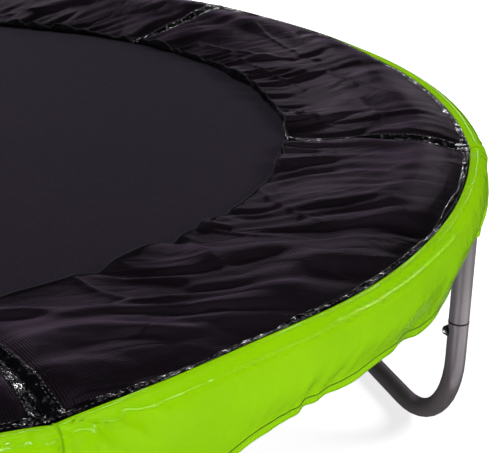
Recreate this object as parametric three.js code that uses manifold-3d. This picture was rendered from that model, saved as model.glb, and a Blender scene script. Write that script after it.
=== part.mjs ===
import * as THREE from "three";
import { mergeVertices } from "three/addons/utils/BufferGeometryUtils.js";
import Module from "manifold-3d";

const wasm = await Module();
wasm.setup();

// Round garden trampoline, free-standing on three U-shaped legs. Millimetres, +Z up,
// origin on the ground under the centre of the mat.

// Frame tube, of one size all over
const TUBE_R = 19;
const BORE_R = 17.8;
const SPIGOT_R = 17;
const SPIGOT_BORE_R = 15.5;
const GAP = 0.3;

// Top ring of six curved rails joined in six T-joints
const RAIL_R = 1231;
const RAIL_Z = 559;
const RAIL_COUNT = 6;
const RAIL_SPAN = 360 / RAIL_COUNT;
const RAIL_SIDES = 16;
const RAIL_BORE_SIDES = 6;
const RAIL_STEPS = 8;
const FIRST_POST = -30;
const RAIL_END = 0.4;
const SLEEVE_END = 2.5;
const SLEEVE_BORE_END = 2.6;
const SLEEVE_R = 20.9;
const STUB_DROP = 75;
const STUB_BORE_TOP = 24;
const BORE_SIDES = 12;

// Straight posts between the T-joints and the U-legs
const POST_SIDES = 24;
const POST_SHOULDER = 3;
const JOINT_GAP = 1.3;
const TOP_SPIGOT = 44;
const BOTTOM_SPIGOT = 66;
const SPARE_HOLE_R = 3.4;
const SPARE_HOLE_RISE = 31;

// U-legs
const LEG_COUNT = 3;
const LEG_TOP_Z = 278;
const LEG_SIDES = 24;
const BEND_R = 183;
const BEND_STEPS = 12;

// Dome-headed screws through the post joints
const SCREW_SIDES = 6;
const SCREW_HOLE_R = 4.4;
const SCREW_SHANK_R = 3.6;
const SCREW_DEPTH = 11;
const WASHER_R = 9.4;
const WASHER_T = 3;
const HEAD_R = 8.2;
const HEAD_H = 7;
const LEG_SCREW_DROP = 20;
const STUB_SCREW_DROP = 52;

// Jumping mat and its stitched edge band
const MAT_R = 998;
const MAT_Z = 562;
const MAT_T = 2;
const BAND_R = 1022;
const BAND_T = 5;
const MAT_SIDES = 36;

// Springs, hooked into punched holes in the inner wall of the rails
const SPRING_COUNT = 12;
const FIRST_SPRING = 11.25;
const SPRING_Z = 560;
const HOLES_PER_RAIL = 8;
const HOOK_HOLE_R = 4.5;
const HOOK_HOLE_SIDES = 6;
const HOOK_HOLE_LENGTH = 17;
const SPRING_SIDES = 6;
const SPRING_R = 10;
const COIL_START = 1058;
const COIL_END = 1186;
const COIL_TAPER = 7;
const HOOK_R = 1.8;
const HOOK_END = 1216;

// Safety pad and skirt, each sewn from six panels between the same seams
const SEAMS = [-80.6, -26.5, 32.3, 94, 156, 217.7];
const SEAM_GAP = 0.008;
const RING_STEP = 5;
const PAD_SECTION = [[898, 566], [1221.7, 579.4], [1221.7, 590], [1060, 589], [898, 576]];
const SKIRT_SECTION = [
  [1222.2, 586], [1222.2, 590], [1246, 587], [1259.8, 562],
  [1256.5, 462], [1253.5, 462], [1256.7, 558], [1244.2, 582.7],
];
const TUCK = 27;
const TUCK_FROM_Z = 540;
const HEM_Z = 462;
const TUCK_DEGREES = 5;

const group = new THREE.Group();
const rad = THREE.MathUtils.degToRad;

const paint = {
  steel: { color: 0x6f686d, roughness: 0.42, metalness: 0.35 },
  chrome: { color: 0xc9c9cc, roughness: 0.2, metalness: 1 },
  zinc: { color: 0xb4b6b8, roughness: 0.35, metalness: 0.9 },
  mat: { color: 0x17141b, roughness: 0.75, metalness: 0 },
  band: { color: 0x101012, roughness: 0.8, metalness: 0 },
  pad: { color: 0x2c262e, roughness: 0.55, metalness: 0 },
  skirt: { color: 0x8fcb00, roughness: 0.3, metalness: 0 },
};

// Route of a sweep with one ring at every listed point
class Route extends THREE.Curve {
  constructor(stops) {
    super();
    this.stops = stops;
  }

  at(t, key, target) {
    const s = t * (this.stops.length - 1);
    const i = Math.min(Math.floor(s), this.stops.length - 2);
    return target.copy(this.stops[i][key]).lerp(this.stops[i + 1][key], s - i);
  }

  getPoint(t, target = new THREE.Vector3()) {
    return this.at(t, "point", target);
  }

  getTangent(t, target = new THREE.Vector3()) {
    return this.at(t, "tangent", target).normalize();
  }

  getUtoTmapping(u) {
    return u;
  }
}

function sweep(shape, stops) {
  return new THREE.ExtrudeGeometry(shape, {
    steps: stops.length - 1,
    extrudePath: new Route(stops),
  });
}

function polygon(radius, sides) {
  const points = [];
  for (let i = 0; i < sides; i += 1) {
    const a = ((i + 0.5) / sides) * 2 * Math.PI;
    points.push(new THREE.Vector2(radius * Math.cos(a), radius * Math.sin(a)));
  }
  return points;
}

function tubeShape(outer, outerSides, bore, boreSides) {
  const shape = new THREE.Shape(polygon(outer, outerSides));
  if (bore) {
    shape.holes.push(new THREE.Path(polygon(bore, boreSides).reverse()));
  }
  return shape;
}

function arcStops(radius, z, degrees) {
  return degrees.map((degree) => {
    const a = rad(degree);
    return {
      point: new THREE.Vector3(radius * Math.cos(a), radius * Math.sin(a), z),
      tangent: new THREE.Vector3(-Math.sin(a), Math.cos(a), 0),
    };
  });
}

// Section in the (radius, height) plane, carried round the Z axis between two seams
function sectorRing(section, from, to) {
  const degrees = [from + SEAM_GAP];
  for (let d = Math.ceil((from + 1) / RING_STEP) * RING_STEP; d < to - 1; d += RING_STEP) {
    degrees.push(d);
  }
  degrees.push(to - SEAM_GAP);
  const [r0, z0] = section[0];
  const outline = section.map(([r, z]) => new THREE.Vector2(z0 - z, r0 - r));
  return sweep(new THREE.Shape(outline), arcStops(r0, z0, degrees));
}

// The hem hangs outside each post and is drawn in under the rail between the posts
function drawIn(geometry) {
  const place = geometry.getAttribute("position");
  for (let i = 0; i < place.count; i += 1) {
    const angle = Math.atan2(place.getY(i), place.getX(i));
    const turn = THREE.MathUtils.euclideanModulo(THREE.MathUtils.radToDeg(angle) - FIRST_POST, 60);
    const share = Math.min(1, Math.min(turn, 60 - turn) / TUCK_DEGREES);
    const below = THREE.MathUtils.clamp((TUCK_FROM_Z - place.getZ(i)) / (TUCK_FROM_Z - HEM_Z), 0, 1);
    const radius = Math.hypot(place.getX(i), place.getY(i)) - TUCK * share * below;
    place.setXY(i, radius * Math.cos(angle), radius * Math.sin(angle));
  }
  return geometry;
}

function lathe(profile, sides) {
  const points = profile.map(([r, z]) => new THREE.Vector2(r, z));
  return new THREE.LatheGeometry(points, sides).rotateX(Math.PI / 2);
}

function toSolid(geometry) {
  const bare = new THREE.BufferGeometry();
  bare.setAttribute("position", geometry.getAttribute("position").clone());
  if (geometry.index) {
    bare.setIndex(geometry.index.clone());
  }
  const merged = mergeVertices(bare, 1e-4);
  return new wasm.Manifold(new wasm.Mesh({
    numProp: 3,
    vertProperties: new Float32Array(merged.getAttribute("position").array),
    triVerts: new Uint32Array(merged.index.array),
  }));
}

function toGeometry(solid) {
  const mesh = solid.getMesh();
  const geometry = new THREE.BufferGeometry();
  geometry.setAttribute("position", new THREE.BufferAttribute(mesh.vertProperties, 3));
  geometry.setIndex(new THREE.BufferAttribute(mesh.triVerts, 1));
  return geometry;
}

function addPart(name, geometry, finish) {
  const shown = geometry.index ? geometry.toNonIndexed() : geometry;
  shown.computeVertexNormals();
  const mesh = new THREE.Mesh(shown, new THREE.MeshStandardMaterial(paint[finish]));
  mesh.name = name;
  group.add(mesh);
}

function postAngle(k) {
  return FIRST_POST + RAIL_SPAN * k;
}

function placeAt(geometry, degrees, radius) {
  return geometry.translate(radius, 0, 0).rotateZ(rad(degrees));
}

// Round cutter along the inward side of a post at the given height
function inwardHole(radius, z, degrees) {
  const cutter = new THREE.CylinderGeometry(radius, radius, TUBE_R + 6, SCREW_SIDES);
  cutter.rotateZ(Math.PI / 2).translate(-(TUBE_R + 6) / 2, 0, z);
  return toSolid(placeAt(cutter, degrees, RAIL_R));
}

function topRail(k) {
  const start = postAngle(k);
  const degrees = [start + RAIL_END];
  const span = RAIL_SPAN - 2 * SLEEVE_BORE_END;
  for (let i = 0; i <= RAIL_STEPS; i += 1) {
    degrees.push(start + SLEEVE_BORE_END + (span * i) / RAIL_STEPS);
  }
  degrees.push(start + RAIL_SPAN - RAIL_END);
  const shape = tubeShape(TUBE_R, RAIL_SIDES, BORE_R, RAIL_BORE_SIDES);
  let tube = toSolid(sweep(shape, arcStops(RAIL_R, RAIL_Z, degrees)));
  for (let i = 0; i < HOLES_PER_RAIL; i += 1) {
    const cutter = new THREE.CylinderGeometry(
      HOOK_HOLE_R, HOOK_HOLE_R, HOOK_HOLE_LENGTH, HOOK_HOLE_SIDES,
    );
    cutter.rotateZ(Math.PI / 2).translate(-TUBE_R, 0, SPRING_Z);
    const a = start + ((i + 0.5) / HOLES_PER_RAIL) * RAIL_SPAN;
    tube = tube.subtract(toSolid(placeAt(cutter, a, RAIL_R)));
  }
  return toGeometry(tube);
}

// Curved sleeve over two rail ends, with a stub pointing down
function tJoint(k) {
  const a = postAngle(k);
  const around = (end) => [a - end, a - RAIL_END, a + RAIL_END, a + end];
  const sleeve = sweep(tubeShape(SLEEVE_R, RAIL_SIDES), arcStops(RAIL_R, RAIL_Z, around(SLEEVE_END)));
  const passage = sweep(
    tubeShape(TUBE_R + GAP, RAIL_SIDES),
    arcStops(RAIL_R, RAIL_Z, around(SLEEVE_BORE_END)),
  );
  const low = RAIL_Z - STUB_DROP;
  const stub = lathe([[0, low], [TUBE_R, low], [TUBE_R, RAIL_Z - 6], [0, RAIL_Z - 6]], POST_SIDES);
  const boreTop = RAIL_Z - STUB_BORE_TOP;
  const bore = lathe([[0, low - 1], [BORE_R, low - 1], [BORE_R, boreTop], [0, boreTop]], BORE_SIDES);
  const whole = toSolid(sleeve)
    .add(toSolid(placeAt(stub, a, RAIL_R)))
    .subtract(toSolid(passage))
    .subtract(toSolid(placeAt(bore, a, RAIL_R)))
    .subtract(inwardHole(SCREW_HOLE_R, RAIL_Z - STUB_SCREW_DROP, a));
  return toGeometry(whole);
}

// Straight tube, swaged down at both ends
function legPost(k) {
  const a = postAngle(k);
  const stubLow = RAIL_Z - STUB_DROP;
  const high = stubLow - JOINT_GAP;
  const low = LEG_TOP_Z + JOINT_GAP;
  const profile = [
    [SPIGOT_BORE_R, LEG_TOP_Z - BOTTOM_SPIGOT],
    [SPIGOT_R, LEG_TOP_Z - BOTTOM_SPIGOT],
    [SPIGOT_R, low],
    [TUBE_R, low + POST_SHOULDER / 3],
    [TUBE_R, high - POST_SHOULDER / 3],
    [SPIGOT_R, high],
    [SPIGOT_R, stubLow + TOP_SPIGOT],
    [SPIGOT_BORE_R, stubLow + TOP_SPIGOT],
    [SPIGOT_BORE_R, LEG_TOP_Z - BOTTOM_SPIGOT],
  ];
  const tube = toSolid(placeAt(lathe(profile, POST_SIDES), a, RAIL_R))
    .subtract(inwardHole(SCREW_HOLE_R, RAIL_Z - STUB_SCREW_DROP, a))
    .subtract(inwardHole(SCREW_HOLE_R, LEG_TOP_Z - LEG_SCREW_DROP, a))
    .subtract(inwardHole(SPARE_HOLE_R, LEG_TOP_Z + SPARE_HOLE_RISE, a));
  return toGeometry(tube);
}

function uLegStops() {
  const x = RAIL_R * Math.cos(rad(FIRST_POST));
  const y = RAIL_R * Math.sin(rad(-FIRST_POST));
  const floor = TUBE_R * Math.cos(Math.PI / LEG_SIDES);
  const stops = [];
  for (const side of [-1, 1]) {
    const bend = [];
    for (let i = 0; i <= BEND_STEPS; i += 1) {
      const a = (i / BEND_STEPS) * (Math.PI / 2);
      bend.push({
        point: new THREE.Vector3(
          x,
          side * (y - BEND_R * (1 - Math.cos(a))),
          floor + BEND_R * (1 - Math.sin(a)),
        ),
        tangent: new THREE.Vector3(0, Math.sin(a), side * Math.cos(a)),
      });
    }
    const end = {
      point: new THREE.Vector3(x, side * y, LEG_TOP_Z),
      tangent: new THREE.Vector3(0, 0, side),
    };
    stops.push(...(side < 0 ? [end, ...bend] : [...bend.reverse(), end]));
  }
  return stops;
}

// Two posts and the ground tube, bent from one piece
function uLeg(k) {
  const shape = tubeShape(TUBE_R, LEG_SIDES, BORE_R, BORE_SIDES);
  const turn = (360 / LEG_COUNT) * k;
  let tube = toSolid(sweep(shape, uLegStops()).rotateZ(rad(turn)));
  for (const end of [FIRST_POST, -FIRST_POST]) {
    tube = tube.subtract(inwardHole(SCREW_HOLE_R, LEG_TOP_Z - LEG_SCREW_DROP, turn + end));
  }
  return toGeometry(tube);
}

// Screw with its washer, head on the inward side of the post
function domeScrew(degrees, z) {
  const seat = TUBE_R + GAP;
  const top = seat + WASHER_T;
  const profile = [
    [0, SCREW_DEPTH],
    [SCREW_SHANK_R, SCREW_DEPTH],
    [SCREW_SHANK_R, seat],
    [WASHER_R, seat],
    [WASHER_R, top],
    [HEAD_R, top + HEAD_H * 0.4],
    [HEAD_R * 0.62, top + HEAD_H * 0.85],
    [0, top + HEAD_H],
  ];
  const screw = lathe(profile, SCREW_SIDES).rotateY(-Math.PI / 2).translate(0, 0, z);
  return placeAt(screw, degrees, RAIL_R);
}

function matDisc() {
  const low = MAT_Z - MAT_T / 2;
  const high = MAT_Z + MAT_T / 2;
  return lathe([[0, low], [MAT_R, low], [MAT_R, high], [0, high]], MAT_SIDES);
}

function matBand() {
  const low = MAT_Z - BAND_T / 2;
  const high = MAT_Z + BAND_T / 2;
  const inner = MAT_R + GAP;
  return lathe([[inner, low], [BAND_R, low], [BAND_R, high], [inner, high], [inner, low]], MAT_SIDES);
}

// Space taken by one coil spring and its two straight hooks
function spring(k) {
  const profile = [
    [0, BAND_R + GAP],
    [HOOK_R, BAND_R + GAP],
    [HOOK_R, COIL_START - COIL_TAPER],
    [SPRING_R, COIL_START],
    [SPRING_R, COIL_END],
    [HOOK_R, COIL_END + COIL_TAPER],
    [HOOK_R, HOOK_END],
    [0, HOOK_END],
  ];
  const body = lathe(profile, SPRING_SIDES).rotateY(Math.PI / 2).translate(0, 0, SPRING_Z);
  return body.rotateZ(rad(FIRST_SPRING + (360 / SPRING_COUNT) * k));
}

for (let k = 0; k < RAIL_COUNT; k += 1) {
  addPart(`top_rail_${k + 1}`, topRail(k), "steel");
  addPart(`t_joint_${k + 1}`, tJoint(k), "steel");
  addPart(`leg_post_${k + 1}`, legPost(k), "steel");
  addPart(`leg_screw_${k + 1}`, domeScrew(postAngle(k), LEG_TOP_Z - LEG_SCREW_DROP), "chrome");
  addPart(`joint_screw_${k + 1}`, domeScrew(postAngle(k), RAIL_Z - STUB_SCREW_DROP), "chrome");
}
for (let k = 0; k < LEG_COUNT; k += 1) {
  addPart(`u_leg_${k + 1}`, uLeg(k), "steel");
}
addPart("jumping_mat", matDisc(), "mat");
addPart("mat_edge_band", matBand(), "band");
for (let k = 0; k < SPRING_COUNT; k += 1) {
  addPart(`spring_${k + 1}`, spring(k), "zinc");
}
for (let k = 0; k < SEAMS.length; k += 1) {
  const from = SEAMS[k];
  const to = k + 1 < SEAMS.length ? SEAMS[k + 1] : SEAMS[0] + 360;
  addPart(`pad_panel_${k + 1}`, sectorRing(PAD_SECTION, from, to), "pad");
  addPart(`skirt_panel_${k + 1}`, drawIn(sectorRing(SKIRT_SECTION, from, to)), "skirt");
}

export default group;
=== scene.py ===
from math import cos, hypot, pi, radians, sin, tan
import bpy
import numpy as np
from mathutils import Matrix, Vector


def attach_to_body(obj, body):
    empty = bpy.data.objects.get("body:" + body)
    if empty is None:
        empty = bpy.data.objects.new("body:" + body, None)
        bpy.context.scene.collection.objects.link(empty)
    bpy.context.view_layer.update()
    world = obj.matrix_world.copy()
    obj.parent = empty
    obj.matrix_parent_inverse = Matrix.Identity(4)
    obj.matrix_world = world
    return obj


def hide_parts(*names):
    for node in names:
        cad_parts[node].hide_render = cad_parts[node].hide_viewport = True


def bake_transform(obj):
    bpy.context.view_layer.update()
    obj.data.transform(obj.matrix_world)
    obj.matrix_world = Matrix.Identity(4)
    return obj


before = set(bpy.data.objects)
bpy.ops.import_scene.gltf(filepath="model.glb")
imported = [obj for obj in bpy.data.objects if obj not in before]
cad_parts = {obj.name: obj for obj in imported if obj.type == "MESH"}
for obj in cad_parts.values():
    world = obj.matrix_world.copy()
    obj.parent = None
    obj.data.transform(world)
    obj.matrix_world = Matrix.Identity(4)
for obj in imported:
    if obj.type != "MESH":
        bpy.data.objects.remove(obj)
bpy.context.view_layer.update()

# Sizes shared with the CAD, in metres
SEAM_R, SEAM_Z = 1.222, 0.590
PAD_IN = 0.898
RAIL_R, RAIL_Z, TUBE_R = 1.231, 0.559, 0.019
MAT_R, MAT_TOP = 0.998, 0.563
SPRING_Z, SPRING_ANGLES = 0.560, [3.75 + 7.5 * i for i in range(48)]
LEG_TOP, LEG_SCREW_Z, JOINT_SCREW_Z = 0.278, 0.258, 0.507
SEAMS = [-80.6, -26.5, 32.3, 94.0, 156.0, 217.7]
POSTS = [-30 + 60 * k for k in range(6)]
PAD_W = SEAM_R - PAD_IN
# radii at which lengths round the pad and the skirt are measured, and the spacing of the cloth's threads
PAD_MID, SKIRT_R = 1.06, 1.25
CELL = 0.0045


# ---------------- camera and light
def camera():
    """A standing viewer in front of the rim, looking down and to the right."""
    yaw, pitch, roll = (radians(a) for a in (20.95, 22.36, 1.0))
    ahead = Vector((sin(yaw) * cos(pitch), cos(yaw) * cos(pitch), -sin(pitch)))
    level = Vector((cos(yaw), -sin(yaw), 0))
    above = level.cross(ahead)
    right = level * cos(roll) + above * sin(roll)
    up = -level * sin(roll) + above * cos(roll)
    cam = bpy.data.objects.new("camera", bpy.data.cameras.new("camera"))
    bpy.context.scene.collection.objects.link(cam)
    m = Matrix((right, up, -ahead)).transposed().to_4x4()
    m.translation = Vector((0, -1.8964 * SEAM_R, SEAM_Z + 0.5565 * SEAM_R))
    cam.matrix_world = m
    cam.data.sensor_width, cam.data.lens = 36, 86.1
    cam.data.clip_start, cam.data.clip_end = 0.02, 80
    bpy.context.scene.camera = cam


def area_light(name, at, to, size, watts, use="glossy", colour=(1, 1, 1)):
    data = bpy.data.lights.new(name, "AREA")
    data.shape, data.size, data.size_y = "RECTANGLE", size[0], size[1]
    data.energy, data.color = watts, colour
    o = bpy.data.objects.new(name, data)
    bpy.context.scene.collection.objects.link(o)
    o.location = at
    o.rotation_euler = (Vector(to) - Vector(at)).to_track_quat("-Z", "Y").to_euler()
    o.visible_camera = False
    o.visible_glossy = use != "diffuse"
    o.visible_diffuse = use != "glossy"
    return o


def lighting():
    """Lights the scene, and returns the lamps meant for the strips, pads, legs, skirts and screws alone."""
    world = bpy.data.worlds.new("studio")
    bpy.context.scene.world = world
    world.use_nodes = True
    bg = world.node_tree.nodes["Background"]
    bg.inputs[0].default_value = (0.014, 0.013, 0.015, 1)
    bg.inputs[1].default_value = 1.0
    area_light("key_left", (-3.3, -3.6, 4.6), (0.2, -0.3, 0.4), (2.2, 1.6), 320, "diffuse")
    area_light("fill_right", (4.6, -2.4, 3.0), (0.3, -0.2, 0.4), (1.6, 2.2), 150, "diffuse")
    area_light("top", (-0.6, 1.6, 5.2), (0, 0, 0.4), (2.2, 2.2), 110, "diffuse")
    area_light("back_left", (-4.6, 2.8, 2.4), (0, 0, 0.4), (1.2, 2.0), 90, "diffuse")
    # lamps that only show as highlights
    rose = (1.0, 0.88, 1.0)
    area_light("back_panel", (1.9, 5.4, 0.85), (0.4, 0, 0.5), (4.6, 0.42), 4.2, colour=(0.92, 0.72, 1.0))
    for i, at in enumerate(((1.0, 5.4, 1.9), (2.9, 5.0, 1.6), (-0.4, 5.5, 2.1), (4.0, 4.0, 1.4))):
        area_light(f"glint_back_{i + 1}", at, (0.5, -0.3, 0.58), (0.26, 0.26), 1.8, colour=rose)
    area_light("glint_key", (-3.0, -3.4, 4.6), (0.6, -0.6, 0.5), (0.24, 0.24), 5)
    area_light("glint_streak", (5.1, 0.25, 2.75), (0.66, -1.06, 0.58), (0.17, 0.13), 12)
    area_light("ceiling", (0, 0, 6), (0, 0, 0), (5, 5), 26)
    sparkles = (((0.8, 3.5, 2.9), (0.1, -1.0, 0.58)), ((3.2, 4.0, 2.1), (1.0, -0.5, 0.58)),
                ((2.4, 2.4, 3.4), (0.7, -0.9, 0.58)), ((3.3, 2.6, 2.3), (0.9, -0.8, 0.58)),
                ((1.9, 3.8, 2.3), (0.6, -1.0, 0.58)))
    strips = [area_light(f"sparkle_{i + 1}", at, to, (0.55, 0.35), 13)
              for i, (at, to) in enumerate(sparkles)]
    # low lamp that rakes across the pad's creases
    pads = [area_light("rake", (1.2, 5.4, 1.35), (0.4, 0, 0.58), (3.0, 0.6), 9400, "diffuse", rose)]
    # pale floor and side wall as the painted legs and screws mirror them
    legs = [area_light("floor_glow", (1.3, -1.1, 0.003), (1.3, -1.1, 1.0), (0.8, 0.8), 1.8),
            area_light("floor_glow_left", (0.55, -0.95, 0.003), (0.55, -0.95, 1), (0.5, 0.4), 0.45),
            area_light("side_wall", (-3.2, -1.8, 0.35), (1.05, -0.62, 0.25), (0.6, 0.5), 9)]
    skirts = [area_light("glint_seam", (2.05, -3.4, 3.2), (0.24, -1.22, 0.57), (0.6, 0.3), 24)]
    screws = [area_light("floor_under", (0.4, -0.35, 0.003), (0.4, -0.35, 1.0), (0.8, 0.8), 3.2)]
    return strips, pads, legs, skirts, screws


def shine_only(name, lamps, pieces):
    """Keeps the highlights of these lamps to these pieces."""
    lit = bpy.data.collections.new(name)
    for o in pieces:
        lit.objects.link(o)
    for lamp in lamps:
        lamp.light_linking.receiver_collection = lit


# ---------------- node materials
class Mat:
    """A Principled material that is built up from procedural nodes."""
    def __init__(self, name, colour, rough, **sockets):
        self.m = bpy.data.materials.new(name)
        self.m.use_nodes = True
        self.m.diffuse_color = (*colour, 1)
        self.nt = self.m.node_tree
        self.p = self.nt.nodes["Principled BSDF"]
        self.co = self.node("TexCoord").outputs["Object"]
        self.height = None
        self.set(Base_Color=(*colour, 1), Roughness=rough, **sockets)

    def put(self, socket, value):
        """Gives a socket a value, or links it to another node's output."""
        if isinstance(value, bpy.types.NodeSocket):
            self.nt.links.new(value, socket)
        else:
            socket.default_value = value

    def set(self, **sockets):
        for key, value in sockets.items():
            self.put(self.p.inputs[key.replace("_", " ")], value)

    def node(self, kind, **values):
        """A node, with its properties and what goes into its sockets."""
        n = self.nt.nodes.new("ShaderNode" + kind)
        for key, value in values.items():
            if hasattr(n, key):
                setattr(n, key, value)
            else:
                self.put(n.inputs[key.replace("_", " ")], value)
        return n

    def math(self, op, *values):
        n = self.node("Math", operation=op)
        for socket, value in zip(n.inputs, values):
            self.put(socket, value)
        return n.outputs[0]

    def add(self, a, b):
        return self.math("ADD", a, b)

    def times(self, a, b):
        return self.math("MULTIPLY", a, b)

    def scaled(self, scale, vector=None):
        return self.node("Mapping", Vector=vector or self.co, Scale=scale).outputs[0]

    def turned(self, angle):
        """Object coordinates turned about the vertical."""
        return self.node("Mapping", Vector=self.co, Rotation=(0, 0, angle)).outputs[0]

    def polar(self):
        """(angle times a middle radius, radius, height), for cloth that runs round the ring."""
        x, y, z = self.node("SeparateXYZ", Vector=self.co).outputs
        radius = self.math("SQRT", self.add(self.times(x, x), self.times(y, y)))
        angle = self.math("ARCTAN2", y, x)
        return self.node("CombineXYZ", X=self.times(angle, 1.1), Y=radius, Z=z).outputs[0]

    def noise(self, scale, detail=3.0, rough=0.6, vector=None, distortion=0.0):
        return self.node("TexNoise", Vector=vector or self.co, Scale=scale, Detail=detail, Roughness=rough,
                         Distortion=distortion).outputs["Fac"]

    def wave(self, scale, vector, direction, distortion, detail_scale=1.0):
        return self.node("TexWave", bands_direction=direction, Vector=vector, Scale=scale, Detail=1.5,
                         Distortion=distortion, Detail_Scale=detail_scale).outputs["Fac"]

    def ramp(self, fac, stops):
        n = self.node("ValToRGB", Fac=fac)
        e = n.color_ramp.elements
        while len(e) < len(stops):
            e.new(0.5)
        for el, (pos, col) in zip(e, stops):
            el.position, el.color = pos, (*col, 1)
        return n.outputs[0]

    def span(self, fac, lo, hi, from_lo=0.0, from_hi=1.0):
        return self.node("MapRange", Value=fac, From_Min=from_lo, From_Max=from_hi,
                         To_Min=lo, To_Max=hi).outputs[0]

    def mix(self, fac, a, b, blend="MIX"):
        """Mixes two colours; sockets 6, 7 and 2 are the node's colours and its result."""
        n = self.node("Mix", data_type="RGBA", blend_type=blend)
        for i, v in ((0, fac), (6, a), (7, b)):
            self.put(n.inputs[i], (*v, 1) if isinstance(v, tuple) else v)
        return n.outputs[2]

    def bump(self, height, distance, strength):
        n = self.node("Bump", Height=height, Distance=distance, Strength=strength)
        if self.height is not None:
            self.put(n.inputs["Normal"], self.height)
        self.height = n.outputs[0]
        self.set(Normal=self.height)


def pad_fabric(k):
    """Coated woven cover with painted shade along its folds; the fine creases run with the panel's folds."""
    m = Mat(f"pad_coated_weave_{k + 1}", (0.008, 0.006, 0.009), 0.35, Specular_IOR_Level=0.45,
            Specular_Tint=(1.0, 0.76, 1.0, 1))
    pol = m.polar()
    rib = m.wave(95, pol, "X", 0.6, 3.0)
    cross = m.wave(70, pol, "Y", 0.8, 3.0)
    weave = m.add(m.times(rib, 0.7), m.times(cross, 0.3))
    cloud = m.noise(5.0, 4.0, 0.6)
    fine = m.noise(420, 2.0, 0.6)
    tone = m.ramp(cloud, [(0.3, (0.0007, 0.0004, 0.0008)), (0.75, (0.0020, 0.0013, 0.0023))])
    m.set(Roughness=m.span(m.add(cloud, m.times(fine, 0.4)), 0.31, 0.42, 0.3, 1.1))
    a, b = panel_span(k)
    lay = m.turned(-(a + b) / 2 - radians(FOLD_TURN[k][0]))
    warp = m.node("TexNoise", Vector=lay, Scale=3.0, Detail=1.0)
    bent = m.mix(0.06, lay, warp.outputs["Color"], "LINEAR_LIGHT")

    def stretched(x, y, z, detail, rough=0.5):
        """Noise drawn out along the folds."""
        return m.noise(1.0, detail, rough, vector=m.scaled((x, y, z), bent))

    # painted shade: dark patches drawn out along the folds stand in for the shadow in the fold valleys, and
    # also dim the shine there
    painted_fold_shade = stretched(2.0, 7.0, 5.0, 2.0)
    light = m.times(m.span(weave, 0.0, 0.42), m.span(painted_fold_shade, 0.30, 1.15, 0.38, 0.60))
    m.set(Base_Color=m.mix(light, tone, (0.0056, 0.0036, 0.0062)))
    m.set(Specular_IOR_Level=m.span(painted_fold_shade, 0.22, 0.60, 0.38, 0.60))
    m.bump(stretched(9, 36, 24, 3.0, 0.55), 0.0026, 0.5)
    crease = m.math("ABSOLUTE", m.math("SUBTRACT", stretched(7, 17, 12, 1.0), 0.5))
    m.bump(m.math("MINIMUM", crease, 0.07), 0.0200, 0.55)
    m.bump(stretched(34, 110, 60, 2.0), 0.0007, 0.4)
    m.bump(m.noise(120), 0.0012, 0.45)
    m.bump(weave, 0.0007, 0.6)
    return m.m


def gloss_vinyl(name, dark, light, rough, crinkle):
    """Crinkled vinyl that shines in spots."""
    m = Mat(name, dark, rough[0], Specular_IOR_Level=0.55, Coat_Weight=0.5, Coat_Roughness=0.08)
    cloud = m.noise(9.0, 3.0, 0.5)
    m.set(Base_Color=m.ramp(cloud, [(0.3, dark), (0.75, light)]))
    m.set(Roughness=m.span(m.noise(60), rough[0], rough[1]))
    spots = m.noise(75, 2.0, 0.5)
    m.set(Specular_IOR_Level=m.span(spots, 0.02, 0.80, 0.54, 0.62),
          Coat_Weight=m.span(spots, 0.01, 0.8, 0.54, 0.62))
    m.bump(m.noise(48, 2.0, 0.5, distortion=0.8), 0.0060, crinkle)
    m.bump(m.noise(120, 2.0, 0.5, distortion=0.5), 0.0012, crinkle)
    return m.m


def skirt_vinyl():
    """Lime vinyl, with a trace of the weave under it."""
    m = Mat("skirt_lime_vinyl", (0.25, 0.53, 0.004), 0.18, Specular_IOR_Level=0.28)
    cloud = m.noise(3.2, 3.0, 0.55)
    m.set(Base_Color=m.ramp(cloud, [(0.25, (0.205, 0.465, 0.001)), (0.6, (0.252, 0.535, 0.0015)),
                            (0.85, (0.285, 0.57, 0.003))]))
    m.set(Roughness=m.span(m.noise(45, 4.0, 0.6), 0.05, 0.20))
    m.bump(m.noise(1.0, 2.0, 0.5, vector=m.scaled((26, 26, 9))), 0.0035, 0.45)
    m.bump(m.noise(34, 2.0, 0.5, distortion=0.8), 0.0022, 0.40)
    m.bump(m.noise(95, distortion=0.4), 0.0006, 0.35)
    m.bump(m.wave(260, m.polar(), "X", 0.4), 0.00012, 0.3)
    return m.m


def mat_weave():
    m = Mat("mat_woven_mesh", (0.006, 0.005, 0.007), 0.62, Specular_IOR_Level=0.12,
            Specular_Tint=(0.95, 0.82, 1.0, 1),
            Sheen_Weight=0.05, Sheen_Roughness=0.5, Sheen_Tint=(0.7, 0.66, 0.8, 1))
    turn = m.turned(radians(17))
    warp = m.wave(135, turn, "X", 0.25, 2.0)
    weft = m.wave(135, turn, "Y", 0.25, 2.0)
    weave = m.times(warp, weft)
    slubs = [m.noise(30, vector=m.scaled(way, turn)) for way in ((1, 14, 1), (14, 1, 1))]
    threads = m.times(m.add(*slubs), 0.5)
    cloud = m.noise(2.2, 3.0, 0.5)
    tone = m.ramp(m.add(m.times(threads, 0.7), m.times(cloud, 0.3)),
                  [(0.35, (0.0020, 0.0012, 0.0025)), (0.62, (0.0060, 0.0031, 0.0072))])
    m.set(Base_Color=m.mix(m.span(weave, 0.0, 0.45), tone, (0.0124, 0.0070, 0.0146)))
    m.set(Roughness=m.span(threads, 0.52, 0.74, 0.3, 0.7))
    m.bump(weave, 0.0006, 0.5)
    return m.m


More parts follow.
